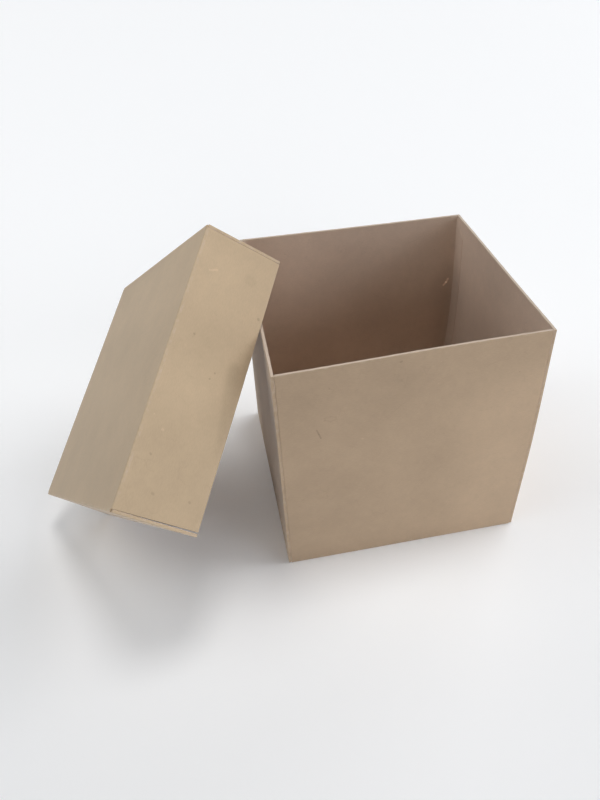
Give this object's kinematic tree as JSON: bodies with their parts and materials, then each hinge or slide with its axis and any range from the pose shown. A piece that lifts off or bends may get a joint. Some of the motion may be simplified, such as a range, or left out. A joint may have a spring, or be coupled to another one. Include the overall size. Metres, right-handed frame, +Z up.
{
  "type": "kraft paper gift box",
  "caption": "Open-topped square gift box folded from stiff kraft board, with its shallow lift-off lid taken off and leaning on one wall.",
  "frame": {"origin": "centre of the underside of the box", "axes": "+Z up through the open top of the box, +X away from the lid, +Y towards the back wall of the box"},
  "size_m": [0.1998, 0.1455, 0.134],
  "materials": {
    "kraft_board": "matt unprinted kraft"
  },
  "bodies": {
    "root": {"box": "kraft_board", "lid": "kraft_board"}
  },
  "joints": []
}
